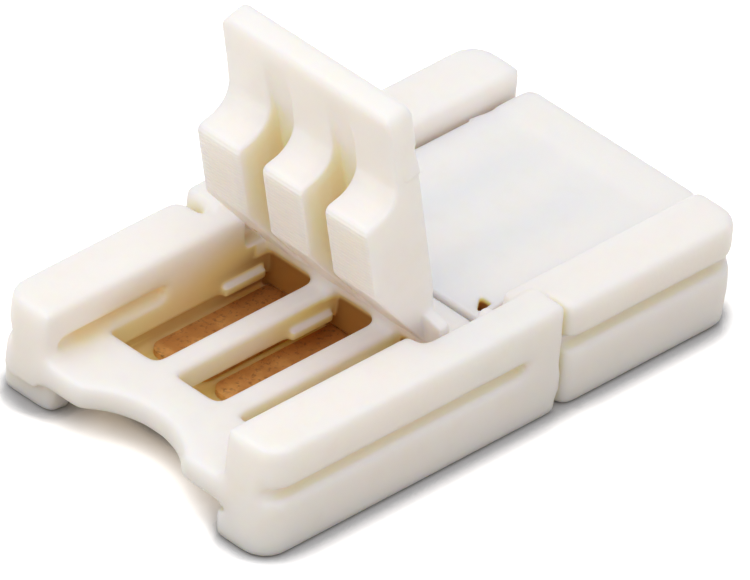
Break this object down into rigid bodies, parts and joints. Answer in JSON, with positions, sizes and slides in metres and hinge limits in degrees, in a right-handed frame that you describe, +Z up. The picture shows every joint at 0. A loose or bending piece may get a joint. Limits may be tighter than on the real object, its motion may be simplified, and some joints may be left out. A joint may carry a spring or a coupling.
{
  "type": "led strip connector",
  "caption": "Flat clamp connector that joins flexible light strips end to end, with hinged ribbed flaps over copper contacts in a white moulded housing.",
  "frame": {"origin": "middle of the housing's underside", "axes": "+X along the strip toward the shut flap, +Y across it toward the far rail, +Z up"},
  "size_m": [0.0269, 0.015, 0.0161],
  "materials": {
    "nylon": "satin natural white",
    "copper": "bare stamped copper alloy"
  },
  "bodies": {
    "housing": {"housing": "nylon", "contact_far": "copper", "contact_middle": "copper", "contact_near": "copper"},
    "front_flap": {"front_flap": "nylon"},
    "rear_flap": {"rear_flap": "nylon"}
  },
  "joints": [
    {"name": "front_flap_hinge", "type": "hinge", "parent": "housing", "child": "front_flap", "pos_m": [-0.0011, 0, 0.004], "axis": [0, 1, 0], "range_deg": [-75.5, 14.5]},
    {"name": "rear_flap_hinge", "type": "hinge", "parent": "housing", "child": "rear_flap", "pos_m": [0.0011, 0, 0.004], "axis": [0, -1, 0], "range_deg": [0, 90]}
  ]
}
